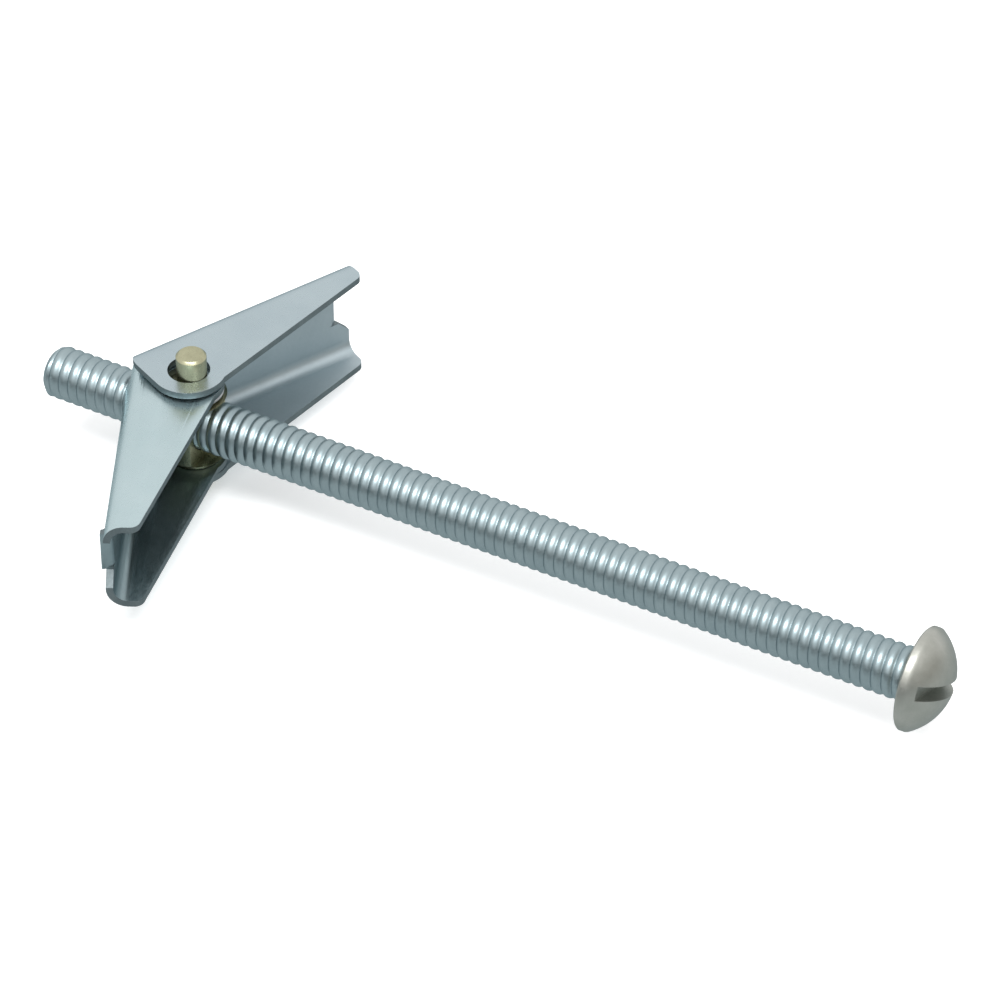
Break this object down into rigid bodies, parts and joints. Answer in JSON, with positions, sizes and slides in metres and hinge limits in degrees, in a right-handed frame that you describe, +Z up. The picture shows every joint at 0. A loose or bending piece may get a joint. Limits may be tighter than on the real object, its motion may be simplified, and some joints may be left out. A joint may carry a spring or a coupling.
{
  "type": "spring toggle bolt",
  "caption": "Slotted round-head machine screw with a sprung folding toggle that grips behind a hollow wall.",
  "frame": {"origin": "bottom centre of the bounding box, on the surface that the lower pivot pin stands on", "axes": "+X along the screw from its tip to its head, +Y across the open wings, +Z up along the pivot pins"},
  "size_m": [0.1163, 0.0544, 0.0195],
  "materials": {
    "screw_zinc_plate": "bright zinc plate with a blue cast",
    "nut_yellow_zinc": "yellow passivated zinc plate",
    "wing_zinc_plate": "bright zinc plate over pressed sheet",
    "spring_wire": "drawn spring wire"
  },
  "bodies": {
    "screw": {"machine_screw": "screw_zinc_plate"},
    "nut": {"trunnion_nut": "nut_yellow_zinc", "torsion_spring": "spring_wire"},
    "outer_wing": {"outer_wing": "wing_zinc_plate"},
    "inner_wing": {"inner_wing": "wing_zinc_plate"}
  },
  "joints": [
    {"name": "toggle_travel", "type": "slide", "parent": "screw", "child": "nut", "axis": [1, 0, 0], "range_m": [-0.013, 0.064]},
    {"name": "outer_wing_fold", "type": "hinge", "parent": "nut", "child": "outer_wing", "pos_m": [-0.03885, 0, 0.00975], "axis": [0, 0, -1], "range_deg": [0, 68], "stiffness_Nm_per_rad": 0.02, "springref_deg": -28.65, "deforming": ["torsion_spring"]},
    {"name": "inner_wing_fold", "type": "hinge", "parent": "nut", "child": "inner_wing", "pos_m": [-0.03885, 0, 0.00975], "axis": [0, 0, 1], "range_deg": [0, 68], "stiffness_Nm_per_rad": 0.02, "springref_deg": -28.65, "deforming": ["torsion_spring"]}
  ]
}
